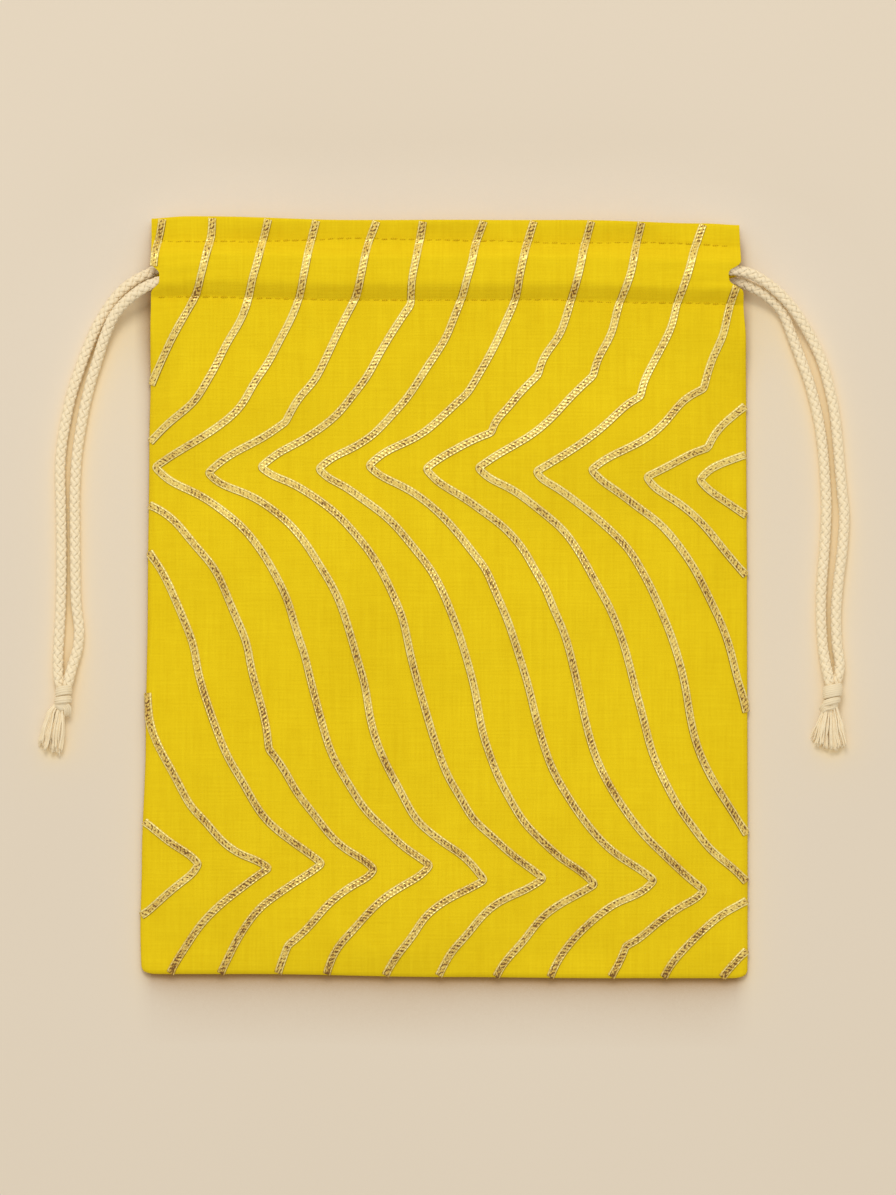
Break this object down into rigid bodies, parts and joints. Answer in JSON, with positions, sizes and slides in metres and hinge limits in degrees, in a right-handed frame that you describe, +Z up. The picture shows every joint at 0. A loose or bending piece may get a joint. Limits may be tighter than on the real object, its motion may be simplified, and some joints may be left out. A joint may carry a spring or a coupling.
{
  "type": "drawstring pouch",
  "caption": "Flat rectangular cotton drawstring pouch with wavy gold thread bands, a stitched cord channel, and cream cords knotted into tassels at both sides.",
  "frame": {"origin": "middle of the pouch's footprint, on the surface that it lies on; the cord tails, knots and tassels are left out of it", "axes": "+X across the pouch to its right, +Y towards its mouth, +Z up from the surface"},
  "size_m": [0.2748, 0.256, 0.017],
  "materials": {
    "yellow_cotton": "plain woven cotton, matt",
    "gold_thread": "metallic chain stitch thread with dark flecks",
    "cream_cord": "braided cotton, matt"
  },
  "bodies": {
    "root": {"back_panel": "yellow_cotton", "back_wave_01": "gold_thread", "back_wave_02": "gold_thread", "back_wave_03": "gold_thread", "back_wave_04": "gold_thread", "back_wave_05": "gold_thread", "back_wave_06": "gold_thread", "back_wave_07": "gold_thread", "back_wave_08": "gold_thread", "back_wave_09": "gold_thread", "back_wave_10": "gold_thread", "back_wave_11": "gold_thread", "back_wave_12": "gold_thread", "back_wave_13": "gold_thread", "back_wave_14": "gold_thread", "back_wave_15": "gold_thread", "back_wave_16": "gold_thread", "back_wave_17": "gold_thread", "back_wave_18": "gold_thread", "back_wave_19": "gold_thread", "back_wave_20": "gold_thread", "front_panel": "yellow_cotton", "front_wave_01": "gold_thread", "front_wave_02": "gold_thread", "front_wave_03": "gold_thread", "front_wave_04": "gold_thread", "front_wave_05": "gold_thread", "front_wave_06": "gold_thread", "front_wave_07": "gold_thread", "front_wave_08": "gold_thread", "front_wave_09": "gold_thread", "front_wave_10": "gold_thread", "front_wave_11": "gold_thread", "front_wave_12": "gold_thread", "front_wave_13": "gold_thread", "front_wave_14": "gold_thread", "front_wave_15": "gold_thread", "front_wave_16": "gold_thread", "front_wave_17": "gold_thread", "front_wave_18": "gold_thread", "front_wave_19": "gold_thread", "front_wave_20": "gold_thread", "left_cord_run": "cream_cord", "left_inner_tail": "cream_cord", "left_knot": "cream_cord", "left_outer_tail": "cream_cord", "left_tassel": "cream_cord", "right_cord_run": "cream_cord", "right_inner_tail": "cream_cord", "right_knot": "cream_cord", "right_outer_tail": "cream_cord", "right_tassel": "cream_cord"}
  },
  "joints": []
}
